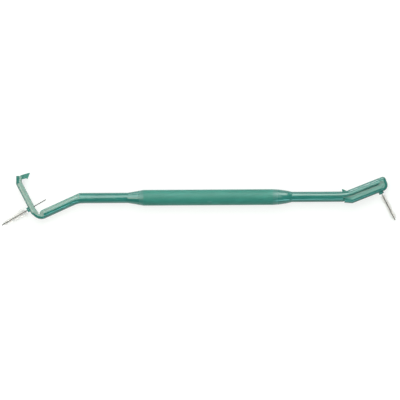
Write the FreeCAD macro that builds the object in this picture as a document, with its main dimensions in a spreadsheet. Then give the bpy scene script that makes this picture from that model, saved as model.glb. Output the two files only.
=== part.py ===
import FreeCAD, Part
import math
import os

from FreeCAD import Placement, Rotation, Vector

# Double-ended interdental brush, in millimetres and degrees.
# The handle's long axis is X, and the plane in which both necks bend is XY.
# The origin is the middle of the round grip, on its axis.
# Each end has a shank frame: its origin is where the shank's axis meets the neck's,
# x runs back towards the grip, and y points to the side on which the latch shuts.
# Each end also has a hinge frame: its origin is the hinge axis, x runs along the neck
# towards the grip, and y points to the latch's side. A latch is drawn in its shut place.

SIZES = [
    # Grip, cones and shanks
    ("grip_length", 63.7),
    ("grip_diameter", 7.7),
    ("grip_edge_round", 0.5),
    ("shank_diameter", 5.1),
    ("tapered_end_cone_length", 7.7),
    ("cylindrical_end_cone_length", 9.1),
    ("tapered_end_shank_length", 24.85),
    ("cylindrical_end_shank_length", 26.35),
    # Necks: a half round outer side, and a narrower tongue on the latch's side
    ("tapered_end_neck_angle", 24.2),
    ("cylindrical_end_neck_angle", 21.3),
    ("neck_length", 20.0),
    ("elbow_radius", 18.0),
    ("tongue_width", 3.0),
    ("tongue_height", 1.82),
    ("tongue_root", 0.5),
    ("tongue_edge_round", 0.45),
    ("tongue_nose_drop", 0.9),
    ("tongue_nose_length", 1.2),
    # Strap hinges
    ("hinge_height", 0.73),
    ("hinge_reach", 1.9),
    ("strap_width", 4.7),
    ("strap_thickness", 1.6),
    ("strap_bend_radius", 4.9),
    ("strap_end_reach", 1.3),
    ("strap_neck_corner_radius", 1.6),
    ("strap_latch_corner_radius", 3.1),
    ("strap_edge_round", 1.3),
    ("strap_clearance", 0.1),
    ("open_angle", 92.7),
    # Latches
    ("latch_width", 4.7),
    ("latch_back_height", 3.5),
    ("latch_edge_height", 0.62),
    ("latch_length", 18.2),
    ("latch_corner_radius", 2.0),
    ("latch_edge_round", 1.8),
    ("latch_tip_length", 3.95),
    ("latch_tip_lean", 4.5),
    ("latch_tip_depth", 2.75),
    ("latch_end_gap", 0.5),
    ("ear_radius", 1.45),
    ("ear_edge_height", 0.16),
    ("ear_ramp_length", 1.0),
    ("channel_clearance", 0.1),
    ("seat_clearance", 0.12),
    ("tail_clearance", 0.05),
    # Hooks, measured from the corner of the latch's back along its tip and inwards
    ("hook_width", 1.4),
    ("hook_root_near", 1.7),
    ("hook_root_far", 3.5),
    ("hook_root_depth", 0.4),
    ("hook_waist_near", 2.9),
    ("hook_waist_far", 4.85),
    ("hook_waist_depth", 3.8),
    ("barb_reach", 2.62),
    ("barb_ledge_depth", 5.05),
    ("barb_depth", 5.6),
    ("hook_far_reach", 5.65),
    ("hook_depth", 6.65),
    ("hook_corner_cut", 0.25),
    ("slot_clearance", 0.15),
    ("slot_low_angle", -26.0),
    ("slot_high_angle", 14.0),
    # Wire holes and their bosses
    ("tapered_end_hole_distance", 4.3),
    ("cylindrical_end_hole_distance", 3.4),
    ("tapered_end_hole_tilt", 3.0),
    ("cylindrical_end_hole_tilt", 5.2),
    ("hole_clearance", 0.09),
    ("boss_diameter", 2.5),
    ("boss_height", 1.0),
    ("boss_root", 0.5),
    ("boss_edge_round", 0.25),
    # Brushes
    ("strand_diameter", 0.24),
    ("filament_thickness", 0.07),
    ("filament_clearance", 0.015),
    ("twist_pitch", 1.9),
    ("brush_reach", 15.2),
    ("tail_length", 7.4),
    ("tail_bend_radius", 0.5),
    ("brush_tip_gap", 0.5),
    ("brush_boss_gap", 0.9),
    ("tapered_brush_tip_radius", 0.85),
    ("tapered_brush_base_radius", 2.2),
    ("cylindrical_brush_radius", 1.4),
    ("brush_end_round_length", 0.8),
    # One overrun for every cutter
    ("overrun", 6.0),
]

SECTIONS_PER_TURN = 8
SECTIONS_PER_FOLD = 4
SECTIONS_PER_BEND = 5
STRAND_SIDES = 6
FILAMENTS = 80
BRUSH_END_SHARE = 0.8
STRAP_CREASE_ANGLE = 6

Z_AXIS = Vector(0, 0, 1)


def make_sheet(doc):
    """Put every driving size in the document's spreadsheet under its own alias."""
    sheet = doc.addObject("Spreadsheet::Sheet", "Sizes")
    for row, (name, value) in enumerate(SIZES, start=1):
        sheet.set(f"A{row}", name)
        sheet.set(f"B{row}", str(value))
        sheet.setAlias(f"B{row}", name)
    doc.recompute()
    return sheet


class Sizes:
    """Reads the spreadsheet's cells as plain numbers."""

    def __init__(self, sheet):
        self.sheet = sheet

    def __getattr__(self, name):
        return float(self.sheet.get(name))


class End:
    """One end of the handle: its frames and what it measures."""

    def __init__(self, size, name, side):
        self.size = size
        self.name = name
        self.side = side
        self.angle = getattr(size, f"{name}_end_neck_angle")
        self.cone = getattr(size, f"{name}_end_cone_length")
        self.shank = getattr(size, f"{name}_end_shank_length")
        self.hole_distance = getattr(size, f"{name}_end_hole_distance")
        self.hole_tilt = getattr(size, f"{name}_end_hole_tilt")

    def bend(self):
        """Distance of the bend from the middle of the grip, with its sign."""
        return self.side * (self.size.grip_length / 2 + self.cone + self.shank)

    def shank_frame(self):
        turn = 0 if self.side < 0 else 180
        return Placement(Vector(self.bend(), 0, 0), Rotation(Z_AXIS, turn))

    def hinge_frame(self):
        neck = Rotation(Z_AXIS, self.angle)
        hinge = neck.multVec(Vector(-self.size.neck_length, self.size.hinge_height, 0))
        return self.shank_frame().multiply(Placement(hinge, neck))

    def from_shank(self, x, y):
        """A point of the shank frame, given in the hinge frame."""
        point = Rotation(Z_AXIS, -self.angle).multVec(Vector(x, y, 0))
        return point + Vector(self.size.neck_length, -self.size.hinge_height, 0)

    def to_shank(self, point):
        """A point of the hinge frame, given in the shank frame."""
        moved = point - Vector(self.size.neck_length, -self.size.hinge_height, 0)
        return Rotation(Z_AXIS, self.angle).multVec(moved)

    def tip_point(self, along, inward):
        """A point of the latch's tip, which lies along the shank when shut."""
        corner = Vector(self.size.latch_length, self.size.latch_back_height, 0)
        turn = Rotation(Z_AXIS, -self.angle - self.size.latch_tip_lean)
        return corner + turn.multVec(Vector(along, -inward, 0))

    def latch_end(self):
        """Where the shut latch's free end stands along the shank."""
        return self.to_shank(self.tip_point(self.size.latch_tip_length, 0)).x

    def hook_points(self):
        """Outline of the hook in the hinge frame, from its near root round to its far root."""
        size = self.size
        return [
            self.tip_point(size.hook_root_near, size.hook_root_depth),
            self.tip_point(size.hook_waist_near, size.barb_ledge_depth),
            self.tip_point(size.barb_reach, size.barb_ledge_depth + size.slot_clearance),
            self.tip_point(size.barb_reach, size.barb_depth),
            self.tip_point(size.hook_far_reach - size.hook_corner_cut, size.hook_depth),
            self.tip_point(size.hook_far_reach, size.hook_depth - size.hook_corner_cut),
            self.tip_point(size.hook_waist_far, size.hook_waist_depth),
            self.tip_point(size.hook_root_far, size.hook_root_depth),
        ]

    def step(self):
        """Where the ledge ends along the shank, a small gap past the shut latch."""
        return self.latch_end() + self.size.latch_end_gap

    def tongue_level(self, along):
        """Height of the tongue's top over the shank's axis, at a place along the shank."""
        slant = math.radians(self.angle)
        return self.size.tongue_height / math.cos(slant) + along * math.tan(slant)

    def channel_floor(self):
        """Height of the latch's channel floor over the hinge, where the tail lies."""
        size = self.size
        seat = size.tongue_height - size.hinge_height
        return seat + wire_diameter(size) + 2 * size.tail_clearance

    def wire_level(self):
        """Height of a folded tail's centre line over the hinge."""
        return self.channel_floor() - size_half(wire_diameter(self.size)) - self.size.tail_clearance


def size_half(value):
    return value / 2


def strand_offset(size):
    """Distance of each strand's centre from the wire's axis."""
    return size_half(size.strand_diameter + size.filament_thickness) + size.filament_clearance


def wire_diameter(size):
    return 2 * strand_offset(size) + size.strand_diameter


def edges_of(path):
    """Closed run of lines and arcs. A pair in the path is an arc: its middle and its end."""
    edges = []
    start = path[0]
    here = start
    for item in path[1:] + [start]:
        if isinstance(item, tuple):
            edges.append(Part.Arc(here, item[0], item[1]))
            here = item[1]
        else:
            if (item - here).Length > 0:
                edges.append(Part.LineSegment(here, item))
            here = item
    return edges


def slab(doc, name, path, width, place):
    """A closed outline in the XY plane of a frame, pulled to both sides by a named width."""
    sketch = doc.addObject("Sketcher::SketchObject", f"{name}Outline")
    sketch.addGeometry(edges_of(path), False)
    sketch.Placement = place
    block = doc.addObject("Part::Extrusion", name)
    block.Base = sketch
    block.DirMode = "Normal"
    block.Solid = True
    block.Symmetric = True
    block.setExpression("LengthFwd", width)
    return block


def fuse(doc, name, parts):
    joined = doc.addObject("Part::MultiFuse", name)
    joined.Shapes = parts
    joined.Refine = True
    return joined


def cut(doc, name, base, tool):
    result = doc.addObject("Part::Cut", name)
    result.Base = base
    result.Tool = tool
    result.Refine = True
    return result


def round_edges(doc, name, base, radius, wanted):
    """Round the edges of a shape that a test picks by their middle points."""
    doc.recompute()
    picked = []
    for index, edge in enumerate(base.Shape.Edges, start=1):
        if wanted(edge):
            picked.append((index, radius, radius))
    rounded = doc.addObject("Part::Fillet", name)
    rounded.Base = base
    rounded.Edges = picked
    return rounded


def middle(edge):
    low, high = edge.ParameterRange
    return edge.valueAt((low + high) / 2)


# Handle

def make_stem(doc, size, ends):
    """Grip, cones and shanks, turned about the long axis."""
    body = doc.addObject("PartDesign::Body", "Stem")
    plane = [item for item in body.Origin.OriginFeatures if item.Role == "XY_Plane"][0]
    sketch = body.newObject("Sketcher::SketchObject", "StemProfile")
    sketch.AttachmentSupport = (plane, [""])
    sketch.MapMode = "FlatFace"
    grip = size.grip_diameter / 2
    shank = size.shank_diameter / 2
    half = size.grip_length / 2
    left, right = ends
    cone_start = half - size.grip_edge_round
    swell = Vector(half + right.cone / 2, (grip + shank) / 2 + size.grip_edge_round / 2, 0)
    path = [
        Vector(left.bend(), 0, 0),
        Vector(left.bend(), shank, 0),
        Vector(-half - left.cone, shank, 0),
        Vector(-half, grip, 0),
        Vector(cone_start, grip, 0),
        (swell, Vector(half + right.cone, shank, 0)),
        Vector(right.bend(), shank, 0),
        Vector(right.bend(), 0, 0),
    ]
    sketch.addGeometry(edges_of(path), False)
    turned = body.newObject("PartDesign::Revolution", "StemTurned")
    turned.Profile = sketch
    turned.ReferenceAxis = (sketch, ["H_Axis"])
    turned.Angle = 360
    body.Tip = turned
    return body


def make_neck_rounds(doc, size, end):
    """The elbow beyond the shank, and the neck's round length up to the strap."""
    shank_frame = end.shank_frame()
    tangent = size.elbow_radius * math.tan(math.radians(end.angle) / 2)
    elbow = doc.addObject("Part::Torus", f"{end.name.title()}Elbow")
    elbow.setExpression("Radius1", "Sizes.elbow_radius")
    elbow.setExpression("Radius2", "Sizes.shank_diameter / 2")
    elbow.setExpression("Angle3", f"Sizes.{end.name}_end_neck_angle")
    centre = Vector(tangent, -size.elbow_radius, 0)
    elbow.Placement = shank_frame.multiply(Placement(centre, Rotation(Z_AXIS, 90)))
    along = Rotation(Z_AXIS, end.angle).multVec(Vector(-1, 0, 0))
    neck = doc.addObject("Part::Cylinder", f"{end.name.title()}Neck")
    neck.setExpression("Radius", "Sizes.shank_diameter / 2")
    neck.Height = size.neck_length - size.hinge_reach - tangent
    neck.Placement = shank_frame.multiply(Placement(along * tangent, Rotation(Z_AXIS, along)))
    return [elbow, neck]


def make_ledge_cut(doc, size, end):
    """Takes the latch's side of the neck down to the ledge, back to a step in the shank."""
    top = size.tongue_height - size.hinge_height
    path = [
        end.from_shank(end.step(), 0),
        end.from_shank(0, 0),
        Vector(-size.overrun, -size.hinge_height, 0),
        Vector(-size.overrun, size.overrun, 0),
        Vector(size.neck_length + size.overrun, size.overrun, 0),
        Vector(size.neck_length + size.overrun, top, 0),
        end.from_shank(end.step(), end.tongue_level(end.step())),
    ]
    name = f"{end.name.title()}LedgeCut"
    return slab(doc, name, path, "2 * Sizes.overrun", end.hinge_frame())


def make_tongue(doc, size, end):
    """The narrow tongue over the ledge, with a round nose inside the strap."""
    top = size.tongue_height - size.hinge_height
    centre = Vector(size.hinge_reach, strap_centre(size), 0)
    nose = strap_outer_radius(size) - size.strap_thickness - size.strap_clearance
    diagonal = Vector(-nose * math.sqrt(0.5), -nose * math.sqrt(0.5), 0)
    nose_tip = centre + Vector(-nose, 0, 0)
    root = end.step() + size.channel_clearance
    path = [
        centre + Vector(0, -nose, 0),
        (centre + diagonal, nose_tip),
        Vector(nose_tip.x, top - size.tongue_nose_drop, 0),
        Vector(nose_tip.x + size.tongue_nose_length, top, 0),
        end.from_shank(root, end.tongue_level(root)),
        end.from_shank(root, -size.tongue_root),
        end.from_shank(0, -size.tongue_root),
        Vector(size.hinge_reach, -size.hinge_height - size.tongue_root, 0),
    ]
    name = f"{end.name.title()}Tongue"
    block = slab(doc, f"{name}Block", path, "Sizes.tongue_width", end.hinge_frame())
    frame = end.hinge_frame().inverse()

    def on_top(edge):
        point = frame.multVec(middle(edge))
        level = abs(point.y - top) < size.tongue_edge_round / 2
        beside = abs(point.z) > size.tongue_width / 2 - size.tongue_edge_round / 2
        return level and beside and edge.Length > size.tongue_width

    return round_edges(doc, name, block, size.tongue_edge_round, on_top)


def make_slot_cut(doc, size, end):
    """The hook's slot, bounded by two arcs about the hinge axis."""
    radii = [point.Length for point in end.hook_points()]
    inner = min(radii) - size.slot_clearance
    outer = max(radii) + size.slot_clearance
    angles = [size.slot_low_angle, (size.slot_low_angle + size.slot_high_angle) / 2]
    angles.append(size.slot_high_angle)
    inside = [Rotation(Z_AXIS, angle).multVec(Vector(inner, 0, 0)) for angle in angles]
    outside = [Rotation(Z_AXIS, angle).multVec(Vector(outer, 0, 0)) for angle in angles]
    path = [inside[0], (inside[1], inside[2]), outside[2], (outside[1], outside[0])]
    width = "Sizes.hook_width + 2 * Sizes.slot_clearance"
    return slab(doc, f"{end.name.title()}Slot", path, width, end.hinge_frame())


def make_handle(doc, size, ends):
    """Stem and both necks, with ledges, tongues and slots."""
    rounds = [make_stem(doc, size, ends)]
    for end in ends:
        rounds += make_neck_rounds(doc, size, end)
    blank = fuse(doc, "HandleBlank", rounds)
    ledges = fuse(doc, "Ledges", [make_ledge_cut(doc, size, end) for end in ends])
    necked = cut(doc, "Necked", blank, ledges)
    tongues = [make_tongue(doc, size, end) for end in ends]
    tongued = fuse(doc, "Tongued", [necked] + tongues)
    slots = fuse(doc, "Slots", [make_slot_cut(doc, size, end) for end in ends])
    handle = cut(doc, "Handle", tongued, slots)
    handle.Label = "handle"
    return handle


# Strap hinges

def strap_outer_radius(size):
    """Radius of the shut strap's outside, half the shut end's whole thickness."""
    return (size.latch_back_height + size.hinge_height + size.shank_diameter / 2) / 2


def strap_centre(size):
    """Height over the hinge axis of the shut strap's centre."""
    return size.latch_back_height - strap_outer_radius(size)


def turned_about(centre, radius, angle):
    """A point on a circle, by its angle from the frame's x axis."""
    return centre + Rotation(Z_AXIS, angle).multVec(Vector(radius, 0, 0))


def shut_strap_path(size):
    """The strap of a shut end: round the tongue's nose, with a tighter corner at the neck."""
    hollow = Vector(size.hinge_reach, strap_centre(size), 0)
    inner = strap_outer_radius(size) - size.strap_thickness
    low = -size.hinge_height - size.shank_diameter / 2
    neck_round = size.strap_neck_corner_radius
    latch_round = size.strap_latch_corner_radius
    neck_centre = Vector(neck_round - size.strap_end_reach, low + neck_round, 0)
    latch_level = size.latch_back_height - latch_round
    latch_centre = Vector(latch_round - size.strap_end_reach, latch_level, 0)
    return [
        Vector(size.hinge_reach, low, 0),
        turned_about(neck_centre, neck_round, 270),
        (turned_about(neck_centre, neck_round, 225), turned_about(neck_centre, neck_round, 180)),
        turned_about(latch_centre, latch_round, 180),
        (turned_about(latch_centre, latch_round, 135), turned_about(latch_centre, latch_round, 90)),
        Vector(size.hinge_reach, size.latch_back_height, 0),
        turned_about(hollow, inner, 90),
        (turned_about(hollow, inner, 180), turned_about(hollow, inner, 270)),
    ]


def open_strap_path(size):
    """The strap of an open end: bent outside, and creased inside at the hinge axis."""
    turn = Rotation(Z_AXIS, size.open_angle)
    low = -size.hinge_height - size.shank_diameter / 2
    bend = Vector(size.hinge_reach, low + size.strap_bend_radius, 0)
    latch_outer = turn.multVec(Vector(size.hinge_reach, size.latch_back_height, 0))
    away = latch_outer - bend
    bearing = math.degrees(math.atan2(away.y, away.x))
    spread = math.degrees(math.acos(size.strap_bend_radius / away.Length))
    tangent = bearing % 360 + spread
    hollow = Vector(size.hinge_reach, strap_centre(size), 0)
    inner = strap_outer_radius(size) - size.strap_thickness
    crease = math.degrees(math.asin(strap_centre(size) / inner)) + STRAP_CREASE_ANGLE
    latch_side = [turn.multVec(turned_about(hollow, inner, angle))
                  for angle in (90, 90 + (90 - crease) / 2, 180 - crease)]
    neck_side = [turned_about(hollow, inner, angle)
                 for angle in (180 + crease, 270 - (90 - crease) / 2, 270)]
    return [
        Vector(size.hinge_reach, low, 0),
        (turned_about(bend, size.strap_bend_radius, (270 + tangent) / 2),
         turned_about(bend, size.strap_bend_radius, tangent)),
        latch_outer,
        latch_side[0],
        (latch_side[1], latch_side[2]),
        neck_side[0],
        (neck_side[1], neck_side[2]),
    ]


def make_hinge(doc, size, end, path, count):
    """A strap hinge; the first pieces of its path are its outside, whose edges are rounded."""
    name = f"{end.name.title()}Hinge"
    block = slab(doc, f"{name}Block", path, "Sizes.strap_width", end.hinge_frame())
    frame = end.hinge_frame().inverse()
    outside = Part.Wire([piece.toShape() for piece in edges_of(path)[:count]])

    def on_outside(edge):
        point = frame.multVec(middle(edge))
        if abs(point.z) < size.strap_width / 2 - size.strap_clearance:
            return False
        flat = Part.Vertex(Vector(point.x, point.y, 0))
        return outside.distToShape(flat)[0] < size.strap_clearance / 2

    hinge = round_edges(doc, name, block, size.strap_edge_round, on_outside)
    hinge.Label = f"{end.name}_end_hinge"
    return hinge


# Latches

def latch_path(size, end):
    """Side outline of a latch with its ears beside the tongue's nose."""
    centre = Vector(size.hinge_reach, strap_centre(size), 0)
    slant = math.radians(end.angle + size.latch_tip_lean)
    tip_back = end.tip_point(size.latch_tip_length, 0)
    setback = size.latch_corner_radius * math.tan(slant / 2)
    corner = Vector(size.latch_length, size.latch_back_height, 0)
    corner_start = corner - Vector(setback, 0, 0)
    corner_end = end.tip_point(setback, 0)
    corner_centre = corner_start - Vector(0, size.latch_corner_radius, 0)
    halfway = 90 - math.degrees(slant) / 2
    corner_middle = turned_about(corner_centre, size.latch_corner_radius, halfway)
    tip_edge = end.tip_point(size.latch_tip_length, size.latch_tip_depth)
    rise = size.latch_edge_height - tip_edge.y
    knee = Vector(tip_edge.x - rise / math.tan(slant), size.latch_edge_height, 0)
    drop = centre.y - size.ear_edge_height
    ear_start = centre + Vector(-math.sqrt(size.ear_radius ** 2 - drop ** 2), -drop, 0)
    diagonal = Vector(-size.ear_radius, size.ear_radius, 0) * math.sqrt(0.5)
    return [
        Vector(size.hinge_reach, size.latch_back_height, 0),
        corner_start,
        (corner_middle, corner_end),
        tip_back,
        tip_edge,
        knee,
        Vector(size.hinge_reach + size.ear_ramp_length, size.latch_edge_height, 0),
        ear_start,
        (centre + diagonal, centre + Vector(0, size.ear_radius, 0)),
    ]


def channel_path(size, end):
    """Side outline of the channel: deep where the tail lies, and shallow to the tip."""
    seat = size.tongue_height - size.hinge_height
    deep = end.channel_floor()
    shallow = seat + size.seat_clearance
    deep_end = end.hole_distance + size.tail_length + size.tail_bend_radius
    low = -size.overrun
    beyond = size.latch_length + size.overrun
    return [
        Vector(low, low, 0),
        Vector(low, deep, 0),
        Vector(deep_end, deep, 0),
        Vector(deep_end, shallow, 0),
        Vector(beyond, shallow, 0),
        Vector(beyond, low, 0),
    ]


def hole_line(size, end):
    """Where a wire leaves the channel floor's level, and its direction out of the latch."""
    start = Vector(end.hole_distance, end.wire_level(), 0)
    direction = Rotation(Z_AXIS, end.hole_tilt).multVec(Vector(0, 1, 0))
    return start, direction


def make_boss(doc, size, end, start, direction):
    """Boss round the wire hole, and the hole's cutter."""
    back = (size.latch_back_height - start.y) / direction.y
    name = end.name.title()
    boss = doc.addObject("Part::Cylinder", f"{name}BossBlank")
    boss.setExpression("Radius", "Sizes.boss_diameter / 2")
    boss.Height = size.boss_height + size.boss_root
    foot = start + direction * (back - size.boss_root)
    boss.Placement = Placement(foot, Rotation(Z_AXIS, direction))
    top = start + direction * (back + size.boss_height)

    def on_top(edge):
        return (edge.BoundBox.Center - top).Length < size.boss_edge_round

    rounded = round_edges(doc, f"{name}Boss", boss, size.boss_edge_round, on_top)
    hole = doc.addObject("Part::Cylinder", f"{name}WireHole")
    hole.Radius = size_half(wire_diameter(size)) + size.hole_clearance
    hole.Height = 2 * size.overrun
    hole.Placement = Placement(start - direction * size.overrun, Rotation(Z_AXIS, direction))
    return rounded, hole


def make_latch(doc, size, end, pose):
    """A latch: round-backed strip with a channel, a hook and a bossed wire hole."""
    name = f"{end.name.title()}Latch"
    still = Placement()
    block = slab(doc, f"{name}Block", latch_path(size, end), "Sizes.latch_width", still)
    back = Part.Wire([piece.toShape() for piece in edges_of(latch_path(size, end))[:3]])

    def on_back(edge):
        point = middle(edge)
        if abs(point.z) < size.latch_width / 2 - size.channel_clearance:
            return False
        return back.distToShape(Part.Vertex(Vector(point.x, point.y, 0)))[0] < size.seat_clearance

    strip = round_edges(doc, f"{name}Strip", block, size.latch_edge_round, on_back)
    width = "Sizes.tongue_width + 2 * Sizes.channel_clearance"
    channel = slab(doc, f"{name}Channel", channel_path(size, end), width, still)
    opened = cut(doc, f"{name}Channelled", strip, channel)
    hook = slab(doc, f"{name}Hook", end.hook_points(), "Sizes.hook_width", still)
    start, direction = hole_line(size, end)
    boss, hole = make_boss(doc, size, end, start, direction)
    whole = fuse(doc, f"{name}Whole", [opened, hook, boss])
    latch = cut(doc, name, whole, hole)
    latch.Placement = pose
    latch.Label = f"{end.name}_end_latch"
    return latch


# Brushes

class WirePath:
    """Centre line of a twisted wire: straight from its tip, then perhaps a bend and a tail."""

    def __init__(self, size, tip, direction, head):
        self.size = size
        self.tip = tip
        self.direction = direction
        self.head = head
        self.bend = 0
        self.tail = 0
        self.radius = 0

    def add_bend(self, radius, turn, tail):
        self.radius = radius
        self.turn = turn
        self.bend = radius * math.radians(turn)
        self.tail = tail

    def length(self):
        return self.head + self.bend + self.tail

    def frame(self, run):
        """Centre and direction at a distance from the tip, with the side in the plane."""
        if run <= self.head or self.bend == 0:
            centre = self.tip + self.direction * run
            ahead = self.direction
        else:
            start = self.tip + self.direction * self.head
            side = Z_AXIS.cross(self.direction)
            pivot = start + side * self.radius
            done = min(run - self.head, self.bend)
            turned = Rotation(Z_AXIS, math.degrees(done / self.radius))
            centre = pivot + turned.multVec(start - pivot)
            ahead = turned.multVec(self.direction)
            centre = centre + ahead * max(0, run - self.head - self.bend)
        return centre, ahead, Z_AXIS.cross(ahead)

    def stations(self, start, stop):
        """Distances along the wire at which it gets a section."""
        step = self.size.twist_pitch / SECTIONS_PER_TURN
        count = max(1, round((stop - start) / step))
        runs = [start + (stop - start) * index / count for index in range(count + 1)]
        if self.bend and start < self.head < stop:
            shares = [index / SECTIONS_PER_BEND for index in range(SECTIONS_PER_BEND + 1)]
            edge = self.size.strand_diameter / 2
            runs = [run for run in runs
                    if run < self.head - edge or run > self.head + self.bend + edge]
            runs += [self.head + self.bend * share for share in shares]
        return sorted(runs)


def strand_centre(size, path, run, strand):
    centre, ahead, side = path.frame(run)
    angle = 2 * math.pi * run / size.twist_pitch + math.pi * strand
    offset = strand_offset(size)
    return centre + side * (offset * math.cos(angle)) + Z_AXIS * (offset * math.sin(angle))


def strand_ring(size, path, run, strand, mirrored):
    """Section of one strand: a small polygon square to the wire."""
    middle_point = strand_centre(size, path, run, strand)
    side = path.frame(run)[2]
    reach = size.strand_diameter / 2
    points = []
    for index in range(STRAND_SIDES + 1):
        angle = 2 * math.pi * index / STRAND_SIDES
        across = -math.cos(angle) if mirrored else math.cos(angle)
        points.append(middle_point + side * (reach * across) + Z_AXIS * (reach * math.sin(angle)))
    return Part.makePolygon(points)


def fold_rings(size, path):
    """Sections of the fold at the brush's tip, where one strand turns into the other."""
    centre, ahead, side = path.frame(0)
    rings = []
    for index in range(1, SECTIONS_PER_FOLD):
        ring = strand_ring(size, path, 0, 0, False)
        ring.rotate(centre, Z_AXIS, -180 * index / SECTIONS_PER_FOLD)
        rings.append(ring)
    return rings


def folded_pair(size, path, stop):
    """One unbroken wire: down a strand to the tip, round the fold and back up the other."""
    runs = path.stations(0, stop)
    down = [strand_ring(size, path, run, 0, False) for run in reversed(runs)]
    up = [strand_ring(size, path, run, 1, True) for run in runs]
    return Part.makeLoft(down + fold_rings(size, path) + up, True, True)


def cut_pair(size, path, start, stop):
    """The two strands of a stretch without the fold."""
    strands = []
    for strand in range(2):
        rings = [strand_ring(size, path, run, strand, False) for run in path.stations(start, stop)]
        strands.append(Part.makeLoft(rings, True, True))
    return Part.makeCompound(strands)


def filament(size, path, run, radius):
    """One filament, through the wire between its strands, with both ends free."""
    centre, ahead, side = path.frame(run)
    angle = 360 * run / size.twist_pitch + 90
    thick = size.filament_thickness
    box = Part.makeBox(2 * radius, thick, thick, Vector(-radius, -thick / 2, -thick / 2))
    lie = Rotation(side, Z_AXIS, ahead, "ZXY")
    box.Placement = Placement(centre, Rotation(ahead, angle).multiply(lie))
    return box


def tuft(size, path, stop, tip_radius, base_radius):
    """Every filament of a brush, from its tip back towards the latch."""
    start = size.brush_tip_gap
    rods = []
    for index in range(FILAMENTS):
        share = index / (FILAMENTS - 1)
        run = start + (stop - start) * share
        radius = tip_radius + (base_radius - tip_radius) * share
        fade = min(1, (run - start) / size.brush_end_round_length)
        radius = radius * (BRUSH_END_SHARE + (1 - BRUSH_END_SHARE) * fade)
        rods.append(filament(size, path, run, radius))
    return Part.makeCompound(rods)


def feature(doc, name, label, shape, pose):
    thing = doc.addObject("Part::Feature", name)
    thing.Shape = shape
    thing.Placement = pose
    thing.Label = label
    return thing


def brush_path(size, end, bend_radius):
    """Path of a brush's wire in the hinge frame of a shut latch."""
    start, direction = hole_line(size, end)
    to_back = (size.latch_back_height - start.y) / direction.y
    tip = start + direction * (to_back + size.brush_reach)
    setback = bend_radius * math.tan(math.radians(90 - end.hole_tilt) / 2)
    return WirePath(size, tip, direction * -1, to_back + size.brush_reach - setback)


def tuft_stop(size, path_head):
    return size.brush_reach - size.boss_height - size.brush_boss_gap


def make_tapered_brush(doc, size, end, pose):
    """The open end's brush: straight wire, straight tail and tapered tuft."""
    path = brush_path(size, end, 0)
    knuckle = wire_diameter(size) / 2 + size.filament_clearance
    wire = folded_pair(size, path, path.head - knuckle)
    tail = cut_pair(size, path, path.head, path.head + size.tail_length)
    hairs = tuft(size, path, tuft_stop(size, path.head),
                 size.tapered_brush_tip_radius, size.tapered_brush_base_radius)
    return [
        feature(doc, "TaperedWire", "tapered_brush_wire", wire, pose),
        feature(doc, "TaperedTail", "tapered_brush_tail", tail, pose),
        feature(doc, "TaperedTuft", "tapered_brush_bristles", hairs, pose),
    ]


def make_cylindrical_brush(doc, size, end, pose):
    """The shut end's brush: wire with its tail folded along the channel, and even tuft."""
    path = brush_path(size, end, size.tail_bend_radius)
    path.add_bend(size.tail_bend_radius, 90 - end.hole_tilt, size.tail_length)
    wire = folded_pair(size, path, path.length())
    hairs = tuft(size, path, tuft_stop(size, path.head),
                 size.cylindrical_brush_radius, size.cylindrical_brush_radius)
    return [
        feature(doc, "CylindricalWire", "cylindrical_brush_wire", wire, pose),
        feature(doc, "CylindricalTuft", "cylindrical_brush_bristles", hairs, pose),
    ]


# Whole object

def check_and_write(doc, nodes):
    """Stop on any failed object or shape, then write one file for each node."""
    doc.recompute()
    for thing in doc.Objects:
        if {"Invalid", "Error"} & set(thing.State):
            raise RuntimeError(f"{thing.Name} failed: {thing.State}")
    for node in nodes:
        if node.Shape.isNull() or not node.Shape.isValid():
            raise RuntimeError(f"{node.Label} has no valid shape")
    os.makedirs("parts", exist_ok=True)
    for node in nodes:
        node.Shape.exportStep(os.path.join("parts", f"{node.Label}.step"))
        solids = len(node.Shape.Solids)
        print(f"{node.Label}: {solids} solids, {node.Shape.Volume:.3f} mm3")


def main():
    doc = FreeCAD.newDocument("InterdentalBrush")
    size = Sizes(make_sheet(doc))
    tapered = End(size, "tapered", -1)
    cylindrical = End(size, "cylindrical", 1)
    swing = Placement(Vector(0, 0, 0), Rotation(Z_AXIS, size.open_angle))
    open_pose = tapered.hinge_frame().multiply(swing)
    shut_pose = cylindrical.hinge_frame()
    nodes = [make_handle(doc, size, [tapered, cylindrical])]
    nodes.append(make_hinge(doc, size, tapered, open_strap_path(size), 2))
    nodes.append(make_hinge(doc, size, cylindrical, shut_strap_path(size), 5))
    nodes.append(make_latch(doc, size, tapered, open_pose))
    nodes.append(make_latch(doc, size, cylindrical, shut_pose))
    nodes += make_tapered_brush(doc, size, tapered, open_pose)
    nodes += make_cylindrical_brush(doc, size, cylindrical, shut_pose)
    check_and_write(doc, nodes)
    for end, pose in ((tapered, open_pose), (cylindrical, shut_pose)):
        start, direction = hole_line(size, end)
        outward = pose.Rotation.multVec(direction)
        fold = pose.multVec(start)
        hinge = end.hinge_frame().Base
        print(f"{end.name} hinge {hinge}, fold {fold}, wire direction {outward}")


main()
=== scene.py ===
import logging
import math
import random
from collections.abc import Callable
from dataclasses import dataclass, field
from enum import Enum

import bmesh
import bpy
from mathutils import Matrix, Vector


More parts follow.
